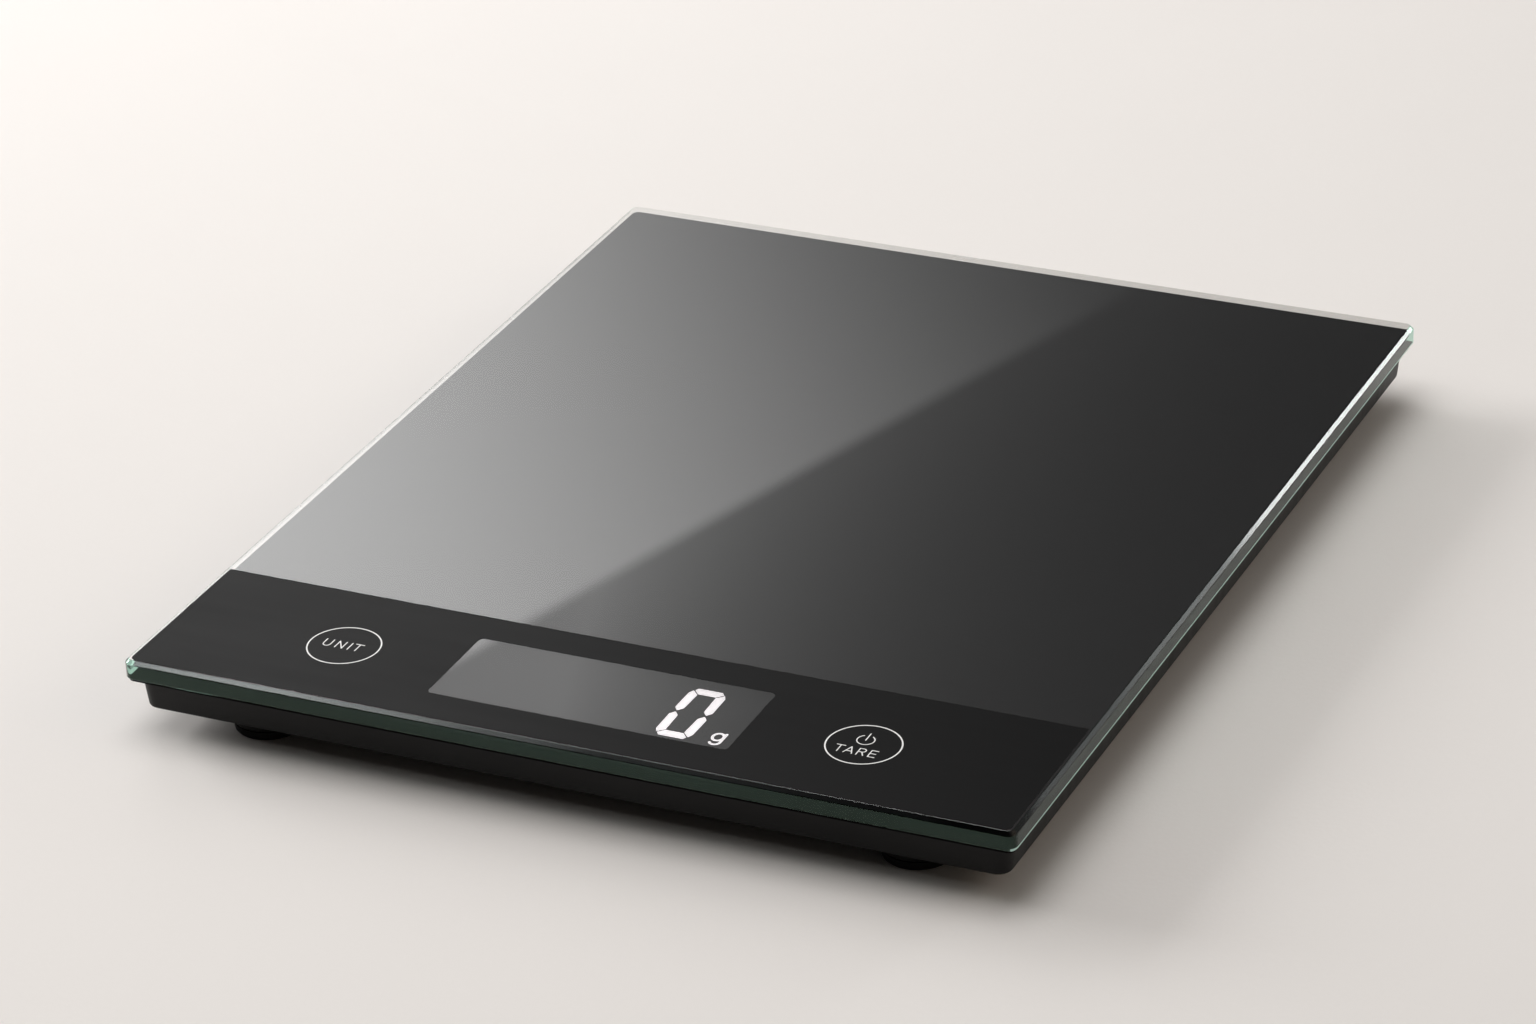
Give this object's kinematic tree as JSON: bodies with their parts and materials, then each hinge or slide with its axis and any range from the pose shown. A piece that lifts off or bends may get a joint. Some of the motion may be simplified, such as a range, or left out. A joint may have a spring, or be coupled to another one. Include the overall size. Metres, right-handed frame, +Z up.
{
  "type": "kitchen scale",
  "caption": "Flat electronic kitchen scale: a glass platform with a front control strip on a shallow black tray, standing on four round feet under load sensors.",
  "frame": {"origin": "on the table, under the middle of the glass platform", "axes": "+Z up, the front edge with the controls faces -Y, +X to the user's right"},
  "size_m": [0.175, 0.216, 0.015],
  "materials": {
    "glass": "clear tempered float glass, green at its ground edges; satin across the front control strip",
    "back_print": "opaque black ink on the back of the glass",
    "housing_plastic": "black ABS with a fine moulded grain",
    "foot_plastic": "black ABS, satin",
    "foot_rubber": "black soft rubber, matt",
    "bonding_tape": "grey foam tape",
    "carrier_plastic": "dark grey ABS",
    "label_film": "silver polyester film, blank",
    "screw_steel": "zinc-plated steel",
    "board_green": "glass-fibre board under green solder resist",
    "chip_resin": "black resin",
    "lcd_glass": "dark polarised display glass with light segments",
    "backlight_acrylic": "clear acrylic light guide",
    "zebra_rubber": "pink layered silicone rubber",
    "bezel_plastic": "black ABS",
    "touch_spring_steel": "gold-plated spring wire",
    "cell_steel": "nickel-plated steel can",
    "contact_nickel": "nickel-plated spring strip",
    "lead_red": "red PVC insulation",
    "lead_black": "black PVC insulation",
    "lead_grey": "grey PVC sleeve over three thin wires",
    "sensor_steel": "stamped alloy steel, nickel-plated",
    "gauge_film": "amber polyimide film",
    "holder_nylon": "natural nylon"
  },
  "bodies": {
    "scale_body": {"glass_plate": "glass", "back_print": "back_print", "bonding_tape": "bonding_tape", "carrier_frame": "carrier_plastic", "base_tray": "housing_plastic", "rating_label": "label_film", "housing_screw_1": "screw_steel", "housing_screw_2": "screw_steel", "housing_screw_3": "screw_steel", "housing_screw_4": "screw_steel", "housing_screw_5": "screw_steel", "housing_screw_6": "screw_steel", "main_circuit_board": "board_green", "controller_chip": "chip_resin", "lcd_panel": "lcd_glass", "backlight_guide": "backlight_acrylic", "zebra_connector": "zebra_rubber", "lcd_bezel": "bezel_plastic", "touch_spring_unit": "touch_spring_steel", "touch_spring_tare": "touch_spring_steel", "battery_cell": "cell_steel", "battery_contact_positive": "contact_nickel", "battery_contact_negative": "contact_nickel", "battery_lead_red": "lead_red", "battery_lead_black": "lead_black", "load_sensor_front_left": "sensor_steel", "strain_gauge_front_left": "gauge_film", "sensor_holder_front_left": "holder_nylon", "load_sensor_front_right": "sensor_steel", "strain_gauge_front_right": "gauge_film", "sensor_holder_front_right": "holder_nylon", "load_sensor_back_left": "sensor_steel", "strain_gauge_back_left": "gauge_film", "sensor_holder_back_left": "holder_nylon", "load_sensor_back_right": "sensor_steel", "strain_gauge_back_right": "gauge_film", "sensor_holder_back_right": "holder_nylon", "sensor_lead_front_left": "lead_grey", "sensor_lead_front_right": "lead_grey", "sensor_lead_back_left": "lead_grey", "sensor_lead_back_right": "lead_grey", "foot_front_left": "foot_plastic", "foot_pad_front_left": "foot_rubber", "foot_front_right": "foot_plastic", "foot_pad_front_right": "foot_rubber", "foot_back_left": "foot_plastic", "foot_pad_back_left": "foot_rubber", "foot_back_right": "foot_plastic", "foot_pad_back_right": "foot_rubber"},
    "battery_door_body": {"battery_door": "housing_plastic"}
  },
  "joints": [
    {"name": "battery_door_hinge", "type": "hinge", "parent": "scale_body", "child": "battery_door_body", "pos_m": [0, -0.0255, 0.005], "axis": [1, 0, 0], "range_deg": [0, 85]}
  ]
}
